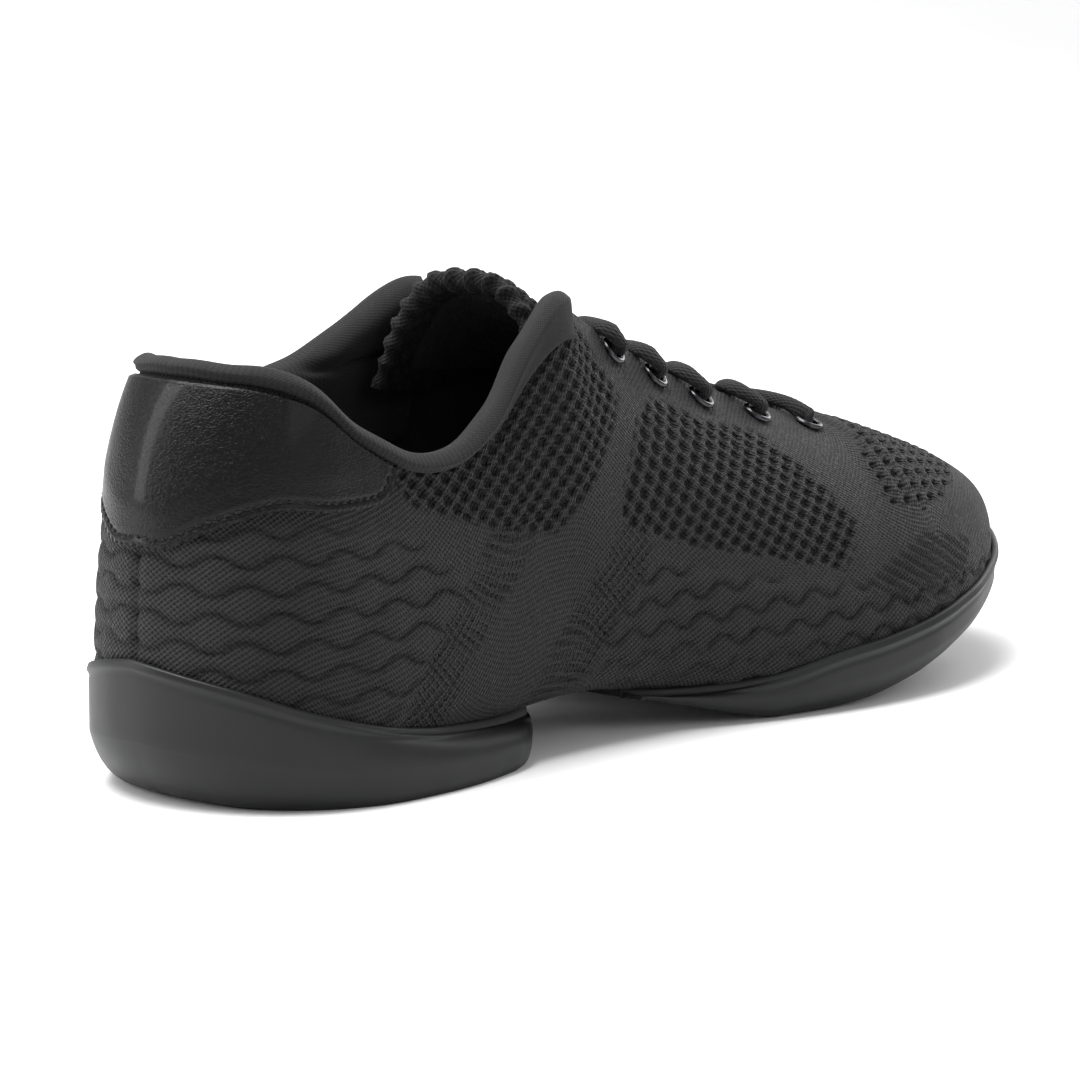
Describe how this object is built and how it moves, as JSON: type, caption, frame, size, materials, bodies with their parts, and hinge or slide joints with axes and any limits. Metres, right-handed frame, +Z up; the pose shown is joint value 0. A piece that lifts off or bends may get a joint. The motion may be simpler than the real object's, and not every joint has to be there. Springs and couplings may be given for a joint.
{
  "type": "dance sneaker",
  "caption": "Low-top knitted dance sneaker for the right foot on a split rubber sole, with a leather heel counter, padded collar, arched tongue and laced throat.",
  "frame": {"origin": "on the floor, under the middle of the shoe's bounding box", "axes": "+X towards the toe, +Y towards the shoe's inner side, +Z up from the floor"},
  "size_m": [0.2714, 0.0944, 0.0991],
  "materials": {
    "knit": "black engineered knit, matte",
    "counter_leather": "black pebbled leather, glossy",
    "lining_jersey": "black foam-backed jersey, matte",
    "tongue_knit": "black honeycomb knit, matte",
    "footbed": "black fabric-faced foam, matte",
    "sole_rubber": "black rubber, satin",
    "lace_weave": "black woven lace, matte",
    "eyelet_metal": "black nickel, glossy"
  },
  "bodies": {
    "root": {"upper": "knit", "heel_counter": "counter_leather", "collar_lining": "lining_jersey", "tongue": "tongue_knit", "insole": "footbed", "heel_sole": "sole_rubber", "forefoot_sole": "sole_rubber", "eyelet_outer_1": "eyelet_metal", "eyelet_outer_2": "eyelet_metal", "eyelet_outer_3": "eyelet_metal", "eyelet_outer_4": "eyelet_metal", "eyelet_outer_5": "eyelet_metal", "eyelet_inner_1": "eyelet_metal", "eyelet_inner_2": "eyelet_metal", "eyelet_inner_3": "eyelet_metal", "eyelet_inner_4": "eyelet_metal", "eyelet_inner_5": "eyelet_metal", "lace_crossing_1": "lace_weave", "lace_crossing_2": "lace_weave", "lace_crossing_3": "lace_weave", "lace_crossing_4": "lace_weave", "lace_bar": "lace_weave"}
  },
  "joints": []
}
